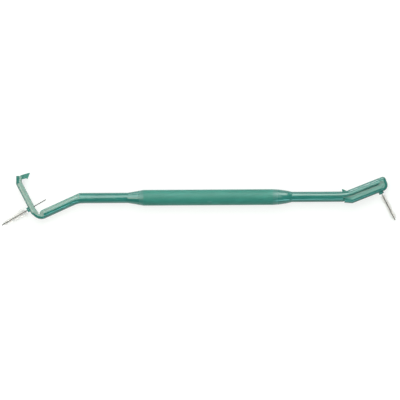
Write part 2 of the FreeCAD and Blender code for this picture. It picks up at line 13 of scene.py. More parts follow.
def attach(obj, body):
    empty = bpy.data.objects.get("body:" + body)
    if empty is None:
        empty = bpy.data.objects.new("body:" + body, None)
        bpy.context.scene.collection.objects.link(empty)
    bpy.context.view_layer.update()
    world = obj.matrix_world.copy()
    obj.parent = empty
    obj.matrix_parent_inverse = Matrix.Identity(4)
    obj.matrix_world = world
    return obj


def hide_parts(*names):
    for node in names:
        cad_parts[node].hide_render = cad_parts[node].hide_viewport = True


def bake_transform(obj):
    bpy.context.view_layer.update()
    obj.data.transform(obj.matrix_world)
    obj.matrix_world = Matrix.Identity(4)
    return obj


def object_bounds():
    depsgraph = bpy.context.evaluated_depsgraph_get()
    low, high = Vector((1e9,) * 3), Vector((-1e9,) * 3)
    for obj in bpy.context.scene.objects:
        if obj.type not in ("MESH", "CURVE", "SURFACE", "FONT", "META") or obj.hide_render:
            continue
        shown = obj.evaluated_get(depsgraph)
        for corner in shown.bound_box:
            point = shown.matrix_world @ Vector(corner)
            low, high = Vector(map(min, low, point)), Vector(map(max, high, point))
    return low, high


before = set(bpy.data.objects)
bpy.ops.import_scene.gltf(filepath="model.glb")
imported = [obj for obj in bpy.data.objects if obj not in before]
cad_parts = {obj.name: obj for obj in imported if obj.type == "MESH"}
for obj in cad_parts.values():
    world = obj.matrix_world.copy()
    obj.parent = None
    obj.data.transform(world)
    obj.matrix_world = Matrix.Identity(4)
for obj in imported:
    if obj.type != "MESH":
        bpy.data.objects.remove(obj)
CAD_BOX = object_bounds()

# Double-ended interdental brush, dressed for the camera.
# Sizes are in millimetres and degrees, in the CAD model's frame: the handle's long axis is X,
# both necks bend in the plane XY, and the object lies flat with Z up.

LOG = logging.getLogger("interdental_brush")
MM = 0.001

# A CAD mesh is loose triangles. Corners within the weld distance are one corner, neighbours
# within the flat angle are one face, and a corner within the tolerance lies on a cut.
WELD_DISTANCE = 0.0005
FLAT_ANGLE = 0.6
CUT_TOLERANCE = 0.002

# Edges sharper than these angles stay sharp in the shading: on plane-sided and on round pieces.
SHARP_ANGLE = 35.0
ROUND_SHARP_ANGLE = 60.0

# A polished mould rounds every edge that is sharper than this.
MOULDED_EDGE_ANGLE = 38.0
MOULDED_EDGE_SEGMENTS = 2


# Small tools

def linear(hex_colour: str) -> tuple[float, float, float, float]:
    """Turn an sRGB hex colour into linear values.

    Args:
        hex_colour: Six hex digits after a hash sign.

    Returns:
        Red, green, blue and an alpha of 1.
    """
    values = [int(hex_colour[start:start + 2], 16) / 255 for start in (1, 3, 5)]
    turned = [v / 12.92 if v <= 0.04045 else ((v + 0.055) / 1.055) ** 2.4 for v in values]
    return turned[0], turned[1], turned[2], 1.0


def add_node(tree: bpy.types.NodeTree, kind: str, inputs: dict[str | int, object] | None = None,
             **settings: object) -> bpy.types.Node:
    """Add a node, give it its settings, and fill or link its inputs.

    Args:
        tree: Node tree that gets the node.
        kind: Blender's name for the kind of node.
        inputs: Values or output sockets by the name or number of an input.
        **settings: Properties of the node itself.

    Returns:
        The new node.
    """
    node = tree.nodes.new(kind)
    for name, value in settings.items():
        setattr(node, name, value)
    for key, value in (inputs or {}).items():
        if isinstance(value, bpy.types.NodeSocket):
            tree.links.new(value, node.inputs[key])
        else:
            node.inputs[key].default_value = value
    return node


def new_material(name: str) -> tuple[bpy.types.Material, bpy.types.NodeTree]:
    """Make an empty node-based material.

    Args:
        name: Name of the material.

    Returns:
        The material and its node tree.
    """
    material = bpy.data.materials.new(name)
    material.use_nodes = True
    material.node_tree.nodes.clear()
    return material, material.node_tree


def object_from(bm: bmesh.types.BMesh, name: str, material: bpy.types.Material,
                scale: float = MM, sharp_angle: float = SHARP_ANGLE) -> bpy.types.Object:
    """Turn a bmesh into a smooth-shaded object at the origin.

    Args:
        bm: The mesh, which is freed.
        name: Name of the piece.
        material: Finish of the piece.
        scale: From the mesh's unit to metres.
        sharp_angle: Edges sharper than this stay sharp, in degrees.

    Returns:
        The linked object.
    """
    bmesh.ops.scale(bm, vec=(scale, scale, scale), verts=bm.verts)
    mesh = bpy.data.meshes.new(name)
    bm.to_mesh(mesh)
    bm.free()
    mesh.materials.append(material)
    mesh.shade_smooth()
    mesh.set_sharp_from_angle(angle=math.radians(sharp_angle))
    piece = bpy.data.objects.new(name, mesh)
    bpy.context.scene.collection.objects.link(piece)
    return piece


def moulded_copy(node: str, name: str, material: bpy.types.Material, edge_round: float,
                 cuts: list[tuple[Vector, Vector]]) -> bpy.types.Object:
    """Copy a rigid CAD node, join its loose triangles and soften its sharp edges.

    Args:
        node: Name of the CAD node, which the copy then stands for.
        name: Name of the new piece.
        material: Finish of the piece.
        edge_round: Radius that a polished mould leaves on sharp edges, in millimetres.
        cuts: Planes, by a point in metres and a normal, which divide long faces crosswise, so
            that each stretch is shaded by its own normals.

    Returns:
        The new piece.
    """
    bm = bmesh.new()
    bm.from_mesh(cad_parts[node].data)
    bmesh.ops.remove_doubles(bm, verts=bm.verts, dist=WELD_DISTANCE * MM)
    bmesh.ops.dissolve_limit(bm, angle_limit=math.radians(FLAT_ANGLE), verts=bm.verts,
                             edges=bm.edges, delimit={"NORMAL"})
    for point, normal in cuts:
        bmesh.ops.bisect_plane(bm, geom=[*bm.verts, *bm.edges, *bm.faces],
                               dist=CUT_TOLERANCE * MM, plane_co=point, plane_no=normal)
    piece = object_from(bm, name, material, scale=1.0)
    bevel = piece.modifiers.new("moulded_edges", "BEVEL")
    bevel.limit_method = "ANGLE"
    bevel.angle_limit = math.radians(MOULDED_EDGE_ANGLE)
    bevel.width = edge_round * MM
    bevel.segments = MOULDED_EDGE_SEGMENTS
    bevel.harden_normals = True
    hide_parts(node)
    return piece


def dress_region(piece: bpy.types.Object, material: bpy.types.Material,
                 inside: Callable[[Vector], bool]) -> None:
    """Give the faces of one region a second finish.

    Args:
        piece: The piece, which has one finish so far.
        material: The second finish.
        inside: Says of a face's corner, in metres, whether it lies in the region.
    """
    piece.data.materials.append(material)
    corners = piece.data.vertices
    for face in piece.data.polygons:
        if all(inside(corners[index].co) for index in face.vertices):
            face.material_index = 1


# Finishes

@dataclass(frozen=True)
class MouldedPolypropylene:
    """Tinted polypropylene, injection moulded.

    A polished mould leaves the shanks, necks and latches glossy, with one clean highlight
    along them. The grip's part of the mould is spark eroded, so the grip is satin: its light
    and dark run into each other. The erosion fades out over the cones at the grip's ends. The
    resin is slightly milky, which softens thin walls. Lengths are in millimetres, and clouds
    and patches are counted per millimetre.
    """

    name: str
    gloss: float
    roughness: float
    roughness_spread: float
    grain_height: float
    colour: str = "#277267"
    pale: str = "#328074"
    clouds: tuple[float, float, float] = (0.12, 0.45, 0.45)
    rubbed_patches: float = 0.8
    milkiness: float = 0.5
    milk_depth: float = 1.0
    milk_tint: tuple[float, float, float] = (0.5, 1.0, 0.9)
    ior: float = 1.5
    fade_roughness: float = 0.0
    fade_start: float = 31.9
    fade_end: float = 37.0
    grain_size: float = 0.45
    seam_half_width: float = 0.07
    seam_height: float = 0.03

    def build(self) -> bpy.types.Material:
        """Make the material.

        Returns:
            The finished material, which reads Object coordinates.
        """
        material, tree = new_material(self.name)
        where = add_node(tree, "ShaderNodeTexCoord")
        place = add_node(tree, "ShaderNodeVectorMath",
                         {0: where.outputs["Object"], "Scale": 1 / MM}, operation="SCALE")
        # Pigment never mixes quite evenly in the melt: soft clouds, drawn out along the flow.
        flow = add_node(tree, "ShaderNodeMapping",
                        {"Vector": place.outputs[0], "Scale": self.clouds})
        clouds = add_node(tree, "ShaderNodeTexNoise",
                          {"Vector": flow.outputs[0], "Scale": 1.0, "Detail": 3.0,
                           "Roughness": 0.55})
        tint = add_node(tree, "ShaderNodeMapRange",
                        {"Value": clouds.outputs["Fac"], "From Min": 0.3, "From Max": 0.75})
        colour = add_node(tree, "ShaderNodeMix", {0: tint.outputs[0], 6: linear(self.colour),
                                                  7: linear(self.pale)}, data_type="RGBA")
        # The handle's long axis is X, so the satin fades into the polish along it.
        axes = add_node(tree, "ShaderNodeSeparateXYZ", {0: place.outputs[0]})
        along = add_node(tree, "ShaderNodeMath", {0: axes.outputs["X"]}, operation="ABSOLUTE")
        fade = add_node(tree, "ShaderNodeMapRange",
                        {"Value": along.outputs[0], "From Min": self.fade_end,
                         "From Max": self.fade_start, "To Min": self.roughness,
                         "To Max": self.roughness + self.fade_roughness})
        # Handling leaves faint duller patches.
        rubbed = add_node(tree, "ShaderNodeTexNoise",
                          {"Vector": place.outputs[0], "Scale": self.rubbed_patches,
                           "Detail": 5.0, "Roughness": 0.7})
        dull = add_node(tree, "ShaderNodeMapRange",
                        {"Value": rubbed.outputs["Fac"], "From Min": 0.35, "From Max": 0.8,
                         "To Min": 0.0, "To Max": self.roughness_spread})
        rough = add_node(tree, "ShaderNodeMath", {0: fade.outputs[0], 1: dull.outputs[0]},
                         operation="ADD")
        # Spark-eroded grain is about 0.05 mm; it is drawn coarser, so that it shows at all.
        grain = add_node(tree, "ShaderNodeTexNoise",
                         {"Vector": place.outputs[0], "Scale": 1 / self.grain_size, "Detail": 4.0,
                          "Roughness": 0.6})
        pits = add_node(tree, "ShaderNodeMath", {0: grain.outputs["Fac"], 1: self.grain_height},
                        operation="MULTIPLY")
        # The mould's two halves meet at half height and leave a hair-thin seam there.
        height = add_node(tree, "ShaderNodeMath", {0: axes.outputs["Z"]}, operation="ABSOLUTE")
        seam = add_node(tree, "ShaderNodeMapRange",
                        {"Value": height.outputs[0], "From Min": self.seam_half_width,
                         "From Max": 0.0}, interpolation_type="SMOOTHSTEP")
        relief = add_node(tree, "ShaderNodeMath", {0: seam.outputs[0], 1: self.seam_height,
                                                   2: pits.outputs[0]}, operation="MULTIPLY_ADD")
        bump = add_node(tree, "ShaderNodeBump", {"Height": relief.outputs[0], "Strength": 1.0,
                                                 "Distance": MM})
        skin = add_node(tree, "ShaderNodeBsdfPrincipled",
                        {"Base Color": colour.outputs[2], "Roughness": rough.outputs[0],
                         "Normal": bump.outputs[0], "IOR": self.ior,
                         "Specular IOR Level": self.gloss,
                         "Subsurface Weight": self.milkiness,
                         "Subsurface Scale": self.milk_depth * MM,
                         "Subsurface Radius": self.milk_tint})
        add_node(tree, "ShaderNodeOutputMaterial", {"Surface": skin.outputs[0]})
        return material


POLISHED = MouldedPolypropylene("polished_polypropylene", gloss=0.78, roughness=0.05,
                                roughness_spread=0.07, grain_height=0.001, colour="#1d6860",
                                pale="#28756c", milkiness=0.35, fade_roughness=0.34)
SPARK_ERODED = MouldedPolypropylene("spark_eroded_polypropylene", gloss=0.42, roughness=0.42,
                                    roughness_spread=0.12, grain_height=0.02)


@dataclass(frozen=True)
class DrawnStainlessSteel:
    """Stainless steel wire, drawn through a die and twisted.

    The die leaves it smooth but not mirror bright. It is dark grey partly where it mirrors the dim
    ceiling and partly by painted shade: its colour is far darker than steel's own. Its sheen
    changes a little from patch to patch, whose size is in millimetres.
    """

    # Painted shade: far darker than steel's own colour, so that the thin wire looks shaded.
    colour: str = "#575351"
    smoothest: float = 0.18
    roughest: float = 0.34
    patch_size: float = 0.25

    def build(self) -> bpy.types.Material:
        """Make the material.

        Returns:
            The finished material, which reads Object coordinates.
        """
        material, tree = new_material("drawn_stainless_steel")
        where = add_node(tree, "ShaderNodeTexCoord")
        place = add_node(tree, "ShaderNodeVectorMath",
                         {0: where.outputs["Object"], "Scale": 1 / MM}, operation="SCALE")
        patches = add_node(tree, "ShaderNodeTexNoise",
                           {"Vector": place.outputs[0], "Scale": 1 / self.patch_size,
                            "Detail": 3.0, "Roughness": 0.6})
        rough = add_node(tree, "ShaderNodeMapRange",
                         {"Value": patches.outputs["Fac"], "From Min": 0.3, "From Max": 0.75,
                          "To Min": self.smoothest, "To Max": self.roughest})
        skin = add_node(tree, "ShaderNodeBsdfPrincipled",
                        {"Base Color": linear(self.colour), "Metallic": 1.0,
                         "Roughness": rough.outputs[0]})
        add_node(tree, "ShaderNodeOutputMaterial", {"Surface": skin.outputs[0]})
        return material


@dataclass(frozen=True)
class ExtrudedNylon:
    """Nylon filament, extruded through fine holes.

    Each filament is smooth and nearly clear, and many that cross look like a white haze. Some
    are a little milkier than their neighbours. Clouds are counted per millimetre.
    """

    colour: str = "#f3edea"
    pale: str = "#fcf9f7"
    clouds: float = 3.0
    roughness: float = 0.35
    clearness: float = 0.6
    ior: float = 1.53

    def build(self) -> bpy.types.Material:
        """Make the material.

        Returns:
            The finished material, which reads Object coordinates.
        """
        material, tree = new_material("extruded_nylon_filament")
        where = add_node(tree, "ShaderNodeTexCoord")
        place = add_node(tree, "ShaderNodeVectorMath",
                         {0: where.outputs["Object"], "Scale": 1 / MM}, operation="SCALE")
        cloudy = add_node(tree, "ShaderNodeTexNoise",
                          {"Vector": place.outputs[0], "Scale": self.clouds})
        colour = add_node(tree, "ShaderNodeMix", {0: cloudy.outputs["Fac"], 6: linear(self.colour),
                                                  7: linear(self.pale)}, data_type="RGBA")
        skin = add_node(tree, "ShaderNodeBsdfPrincipled",
                        {"Base Color": colour.outputs[2], "Roughness": self.roughness,
                         "IOR": self.ior, "Transmission Weight": self.clearness})
        add_node(tree, "ShaderNodeOutputMaterial", {"Surface": skin.outputs[0]})
        return material


@dataclass(frozen=True)
class Finishes:
    """The materials of the object, each made once."""

    plastic: bpy.types.Material
    satin: bpy.types.Material
    steel: bpy.types.Material
    nylon: bpy.types.Material


# Places

class EndKind(Enum):
    """The two ends of the tool, by the shape of the brush that each holds."""

    TAPERED = "tapered"
    CYLINDRICAL = "cylindrical"


@dataclass(frozen=True)
class HingeFrame:
    """Frame of one end: x runs along the neck to the grip, and y to the latch's side."""

    x: float
    y: float
    angle: float

    def matrix(self) -> Matrix:
        """Place of the frame, in millimetres."""
        return Matrix.Translation((self.x, self.y, 0)) @ Matrix.Rotation(
            math.radians(self.angle), 4, "Z")

    def point(self, x: float, y: float) -> Vector:
        """A point of the frame, in metres in the row frame."""
        return (self.matrix() @ Vector((x, y, 0))) * MM

    def cuts(self, places: list[float], turn: float = 0.0) -> list[tuple[Vector, Vector]]:
        """Planes across a part that lies along the frame's x axis.

        Args:
            places: Distances from the hinge, in millimetres.
            turn: Degrees that the part is turned about the hinge.

        Returns:
            A point in metres and a normal for each plane.
        """
        turned = Matrix.Rotation(math.radians(turn), 3, "Z")
        along = self.matrix().to_3x3() @ turned @ Vector((1, 0, 0))
        return [(self.point(0, 0) + along * (place * MM), along) for place in places]


# Where the CAD source puts the strap hinges, in millimetres and degrees.
HINGE_FRAMES = {
    EndKind.TAPERED: HingeFrame(-82.941646, -7.532613, 24.2),
    EndKind.CYLINDRICAL: HingeFrame(86.198998, 6.584890, 201.3),
}


# Handle

@dataclass
class Handle:
    """Moulded handle: satin grip, polished shanks and necks, and the gate's vestige.

    The profile's corners are where grip, cones, shanks and elbows meet, along X.
    """

    edge_round: float = 0.12
    grip_radius: float = 3.85
    grip_half_length: float = 31.9
    corners: tuple[float, ...] = (-64.4, -39.55, -31.85, 31.35, 40.95, 67.3)
    neck_length: float = 19.0
    cut_step: float = 1.6
    corner_step: float = 0.12
    gate_x: float = 0.5
    gate_y: float = -2.2
    gate_length: float = 2.4
    gate_width: float = 1.0
    gate_height: float = 0.1
    gate_sink: float = 0.12
    gate_round: float = 0.06

    def build(self, finishes: Finishes) -> list[bpy.types.Object]:
        """Make the handle's pieces.

        Args:
            finishes: The object's materials.

        Returns:
            The handle and the gate's vestige.
        """
        body = moulded_copy("handle", "handle_moulding", finishes.plastic, self.edge_round,
                            self.cuts())
        dress_region(body, finishes.satin, self.on_grip)
        gate = self.gate_vestige(finishes.plastic)
        for piece in (body, gate):
            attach(piece, "handle")
        return [body, gate]

    def on_grip(self, corner: Vector) -> bool:
        """Whether a corner, in metres, lies on the spark-eroded grip."""
        return abs(corner.x) < self.grip_half_length * MM

    def cuts(self) -> list[tuple[Vector, Vector]]:
        """Planes across the stem and both necks, closest beside the corners of the profile.

        Returns:
            A point in metres and a normal for each plane.
        """
        first, last = self.corners[0], self.corners[-1]
        count = round((last - first) / self.cut_step)
        places = [first + (last - first) * index / count for index in range(count + 1)]
        places += [corner + way * self.corner_step for corner in self.corners for way in (-1, 1)]
        found = [(Vector((place * MM, 0, 0)), Vector((1, 0, 0))) for place in places]
        steps = [self.cut_step * index
                 for index in range(int(self.neck_length / self.cut_step) + 1)]
        for place in HINGE_FRAMES.values():
            found += place.cuts(steps)
        return found

    def gate_vestige(self, material: bpy.types.Material) -> bpy.types.Object:
        """Make the low oval pad where the melt entered the mould.

        Args:
            material: Finish of the pad.

        Returns:
            The pad, tangent to the grip.
        """
        bm = bmesh.new()
        ring = bmesh.ops.create_circle(bm, cap_ends=True, radius=0.5, segments=40)
        bmesh.ops.scale(bm, vec=(self.gate_length, self.gate_width, 1), verts=ring["verts"])
        lifted = bmesh.ops.extrude_face_region(bm, geom=list(bm.faces))
        top = [item for item in lifted["geom"] if isinstance(item, bmesh.types.BMVert)]
        bmesh.ops.translate(bm, vec=(0, 0, self.gate_height + self.gate_sink), verts=top)
        rim = [edge for edge in bm.edges if all(vert in top for vert in edge.verts)]
        bmesh.ops.bevel(bm, geom=rim, offset=self.gate_round, segments=3, profile=0.5,
                        affect="EDGES", material=-1)
        bmesh.ops.recalc_face_normals(bm, faces=bm.faces)
        lean = math.asin(self.gate_y / self.grip_radius)
        bmesh.ops.translate(bm, vec=(self.gate_x, 0, self.grip_radius - self.gate_sink),
                            verts=bm.verts)
        bmesh.ops.rotate(bm, cent=(0, 0, 0), matrix=Matrix.Rotation(-lean, 3, "X"),
                         verts=bm.verts)
        return object_from(bm, "gate_vestige", material)


# Latches

@dataclass
class Latch:
    """Moulded latch with its channel, its satin hook and its bossed wire hole.

    It is turned about its hinge from where it lies shut. The hook is what lies further than
    its start from the hinge, within its width about half height.
    """

    kind: EndKind
    turn: float = 0.0
    edge_round: float = 0.12
    length: float = 23.0
    cut_step: float = 1.0
    hook_width: float = 1.4
    hook_margin: float = 0.01
    hook_start: float = 17.0

    def on_hook(self, corner: Vector) -> bool:
        """Whether a corner, in metres, lies on the hook."""
        away = (corner - HINGE_FRAMES[self.kind].point(0, 0)).length
        return (abs(corner.z) < (self.hook_width / 2 + self.hook_margin) * MM
                and away > self.hook_start * MM)

    def build(self, finishes: Finishes) -> list[bpy.types.Object]:
        """Make the latch, which rides on its own body.

        Args:
            finishes: The object's materials.

        Returns:
            The one piece.
        """
        name = self.kind.value
        steps = [self.cut_step * (index + 0.5)
                 for index in range(int(self.length / self.cut_step))]
        piece = moulded_copy(f"{name}_end_latch", f"{name}_latch_moulding", finishes.plastic,
                             self.edge_round, HINGE_FRAMES[self.kind].cuts(steps, self.turn))
        dress_region(piece, finishes.satin, self.on_hook)
        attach(piece, f"{name}_latch")
        return [piece]


# Strap hinges

class Outline:
    """An open chain of edges in the plane, drawn from point to point by bmesh operators."""

    def __init__(self, bm: bmesh.types.BMesh, start: tuple[float, float]) -> None:
        """Start the chain at a point.

        Args:
            bm: Mesh that gets the edges.
            start: Where the chain starts, in the mesh's unit.
        """
        self.bm = bm
        self.last = bmesh.ops.create_vert(bm, co=(start[0], start[1], 0))["vert"][0]
        self.edges: list[bmesh.types.BMEdge] = []

    def line(self, x: float, y: float, steps: int) -> "Outline":
        """Draw a straight run in equal steps.

        Args:
            x: Where the run ends.
            y: Where the run ends.
            steps: Number of edges.

        Returns:
            The outline itself.
        """
        step = (Vector((x, y, 0)) - self.last.co) / steps
        for _ in range(steps):
            grown = bmesh.ops.extrude_vert_indiv(self.bm, verts=[self.last])
            self.last = grown["verts"][0]
            self.edges += grown["edges"]
            self.last.co += step
        return self

    def arc(self, x: float, y: float, angle: float, steps: int) -> "Outline":
        """Draw an arc about a centre.

        Args:
            x: The centre.
            y: The centre.
            angle: Degrees turned, with their sign.
            steps: Number of edges.

        Returns:
            The outline itself.
        """
        turn = Matrix.Rotation(math.radians(angle / steps), 3, "Z")
        for _ in range(steps):
            grown = bmesh.ops.extrude_vert_indiv(self.bm, verts=[self.last])
            self.last = grown["verts"][0]
            self.edges += grown["edges"]
            bmesh.ops.rotate(self.bm, cent=(x, y, 0), matrix=turn, verts=[self.last])
        return self


@dataclass(frozen=True)
class Hollow:
    """Round hollow in a strap's inside: its centre in the hinge frame, and the arc it covers."""

    x: float
    y: float
    bearing: float
    sweep: float
    steps: int


@dataclass
class StrapHinge:
    """The thin strap of each end, which bends as its latch opens and shuts; it is built here in
    one pose, shut or open.

    Sizes are in the hinge frame. A shut strap goes round the tongue's nose in one hollow, with
    a round under the nose, a flat face and a round shoulder outside. An open one has a second
    hollow, round the latch's ears, and one wide bend outside. The stretch where the strap would
    bend lies between two heights on a shut strap, and between two distances before and behind the
    hinge on an open one; its ends are worked out but nothing bends it.
    """

    kind: EndKind
    width: float = 4.7
    low: float = -3.28
    reach: float = 1.9
    back: float = 3.5
    hollow_radius: float = 1.79
    hollow_height: float = 0.11
    hollow_bearing: float = -90.0
    nose_round: tuple[float, float] = (0.3, -1.68)
    face: float = -1.3
    shoulder_round: tuple[float, float] = (1.8, 0.4)
    bend_height: float = 1.62
    bend_sweep: float = -64.44
    open_end: tuple[float, float] = (-3.5856, 1.7330)
    open_sweep: float = -80.48
    ear_start: tuple[float, float] = (-0.4119, 0.1153)
    ear_centre: tuple[float, float] = (-0.1994, 1.8927)
    ear_bearing: float = -96.82
    shut_stretch: tuple[float, float] = (-1.68, 1.9)
    open_stretch: tuple[float, float] = (2.53, 2.69)
    edge_round: float = 1.3
    lip_radius: float = 1.53
    lip_root: float = 0.06
    lip_level: float = 1.62
    lip_thickness: float = 0.45

    def shut_outlines(self, bm: bmesh.types.BMesh) -> list[Outline]:
        """Outside and inside of a strap that goes round the tongue's nose.

        Args:
            bm: Mesh that gets the edges.

        Returns:
            The outer and the inner outline.
        """
        outer = Outline(bm, (self.reach, self.low)).line(self.nose_round[0], self.low, steps=2)
        outer.arc(*self.nose_round, angle=-90, steps=7)
        outer.line(self.face, self.shoulder_round[1], steps=6)
        outer.arc(*self.shoulder_round, angle=-90, steps=12)
        outer.line(self.reach, self.back, steps=1)
        inner = Outline(bm, (self.reach, self.hollow_height - self.hollow_radius))
        inner.arc(self.reach, self.hollow_height, angle=-180, steps=28)
        return [outer, inner]

    def open_outlines(self, bm: bmesh.types.BMesh) -> list[Outline]:
        """Outside and inside of a strap bent back by a little over a right angle.

        Args:
            bm: Mesh that gets the edges.

        Returns:
            The outer and the inner outline.
        """
        outer = Outline(bm, (self.reach, self.low))
        outer.arc(self.reach, self.bend_height, angle=self.bend_sweep, steps=16)
        outer.line(*self.open_end, steps=8)
        inner = Outline(bm, (self.reach, self.hollow_height - self.hollow_radius))
        inner.arc(self.reach, self.hollow_height, angle=self.open_sweep, steps=10)
        inner.line(*self.ear_start, steps=4)
        inner.arc(*self.ear_centre, angle=self.open_sweep, steps=10)
        return [outer, inner]

    def hollows(self) -> list[Hollow]:
        """The hollows that lie round the tongue's nose and the latch's ears.

        Returns:
            One hollow in a shut strap, and two in an open one.
        """
        nose = (self.reach, self.hollow_height, self.hollow_bearing)
        if self.kind is EndKind.CYLINDRICAL:
            return [Hollow(*nose, sweep=-180, steps=28)]
        return [Hollow(*nose, sweep=self.open_sweep, steps=12),
                Hollow(*self.ear_centre, self.ear_bearing, sweep=self.open_sweep, steps=12)]

    def add_lip(self, bm: bmesh.types.BMesh, hollow: Hollow, level: float) -> None:
        """Add the thin web that closes most of the slot between strap and ear.

        Args:
            bm: The strap's mesh.
            hollow: The hollow that the web lines.
            level: Height of the web's lower face.
        """
        bearing = math.radians(hollow.bearing)
        rims = []
        for radius in (self.lip_radius, self.hollow_radius + self.lip_root):
            start = (hollow.x + radius * math.cos(bearing),
                     hollow.y + radius * math.sin(bearing))
            rims.append(Outline(bm, start).arc(hollow.x, hollow.y, hollow.sweep, hollow.steps))
        web = bmesh.ops.bridge_loops(bm, edges=rims[0].edges + rims[1].edges)
        lower = {vert for face in web["faces"] for vert in face.verts}
        bmesh.ops.translate(bm, vec=(0, 0, level), verts=list(lower))
        grown = bmesh.ops.extrude_face_region(bm, geom=web["faces"])
        upper = [item for item in grown["geom"] if isinstance(item, bmesh.types.BMVert)]
        bmesh.ops.translate(bm, vec=(0, 0, self.lip_thickness), verts=upper)

    def build(self, finishes: Finishes) -> list[bpy.types.Object]:
        """Make the strap in one pose; the ends of its bending stretch are worked out but not used.

        Args:
            finishes: The object's materials.

        Returns:
            The one piece.
        """
        name = self.kind.value
        shut = self.kind is EndKind.CYLINDRICAL
        bm = bmesh.new()
        outer, inner = self.shut_outlines(bm) if shut else self.open_outlines(bm)
        outside = [edge.verts[0].co.copy() for edge in outer.edges] + [outer.last.co.copy()]
        bmesh.ops.bridge_loops(bm, edges=outer.edges + inner.edges)
        bmesh.ops.translate(bm, vec=(0, 0, -self.width / 2), verts=bm.verts)
        sides = bmesh.ops.extrude_face_region(bm, geom=list(bm.faces))
        moved = [item for item in sides["geom"] if isinstance(item, bmesh.types.BMVert)]
        bmesh.ops.translate(bm, vec=(0, 0, self.width), verts=moved)
        bmesh.ops.recalc_face_normals(bm, faces=bm.faces)
        # The rims that run along the outside, on both sides of the strap, are rounded.
        plan = {(round(point.x, 3), round(point.y, 3)) for point in outside}
        rounded = [edge for edge in bm.edges if len(edge.link_faces) == 2
                   and abs(edge.verts[0].co.z - edge.verts[1].co.z) < self.width / 2
                   and all((round(v.co.x, 3), round(v.co.y, 3)) in plan for v in edge.verts)]
        bmesh.ops.bevel(bm, geom=rounded, offset=self.edge_round, segments=6, profile=0.5,
                        affect="EDGES", material=-1)
        for hollow in self.hollows():
            for level in (self.lip_level, -self.lip_level - self.lip_thickness):
                self.add_lip(bm, hollow, level)
        bmesh.ops.recalc_face_normals(bm, faces=bm.faces)
        bm.transform(HINGE_FRAMES[self.kind].matrix())
        piece = object_from(bm, f"{name}_strap", finishes.plastic)
        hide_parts(f"{name}_end_hinge")
        place = HINGE_FRAMES[self.kind]
        if shut:
            start, end = (place.point(0, height) for height in self.shut_stretch)
        else:
            # The open strap's bending stretch is reckoned along a line at 45 degrees to the neck.
            before, after = (away * math.sqrt(0.5) for away in self.open_stretch)
            start, end = place.point(before, -before), place.point(-after, after)
        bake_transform(piece)
        return [piece]


# Brushes

# One full turn of the twisted strands, which the filaments between them follow.
TWIST_PITCH = 1.9


@dataclass(frozen=True)
class WireRun:
    """Centre line of a twisted wire, from the brush's tip through the latch to its tail's end.

    Head and tail are straight, and a round bend joins them. Their lines cross at the fold, and
    out is the way from there to the tip.
    """

    fold_x: float
    fold_y: float
    out_x: float
    out_y: float
    head: float
    tail: float
    bend_radius: float
    bend_angle: float

    def tip(self) -> Vector:
        """The brush's tip.

        Returns:
            The tip's place, in millimetres.
        """
        out = Vector((self.out_x, self.out_y, 0))
        setback = self.bend_radius * math.tan(math.radians(self.bend_angle) / 2)
        return Vector((self.fold_x, self.fold_y, 0)) + out * (self.head + setback)

    def length(self) -> float:
        """Length of the whole run."""
        return self.head + self.bend_radius * math.radians(self.bend_angle) + self.tail

    def place(self, run: float) -> tuple[Vector, Vector, Vector]:
        """A place on the line.

        Args:
            run: Distance from the tip.

        Returns:
            The centre, the direction of travel, and the side in the plane.
        """
        ahead = Vector((-self.out_x, -self.out_y, 0))
        up = Vector((0, 0, 1))
        if run <= self.head or self.bend_angle == 0:
            return self.tip() + ahead * run, ahead, up.cross(ahead)
        start = self.tip() + ahead * self.head
        pivot = start + up.cross(ahead) * self.bend_radius
        bend = self.bend_radius * math.radians(self.bend_angle)
        turn = Matrix.Rotation(min(run - self.head, bend) / self.bend_radius, 3, "Z")
        ahead = turn @ ahead
        centre = pivot + turn @ (start - pivot) + ahead * max(0.0, run - self.head - bend)
        return centre, ahead, up.cross(ahead)


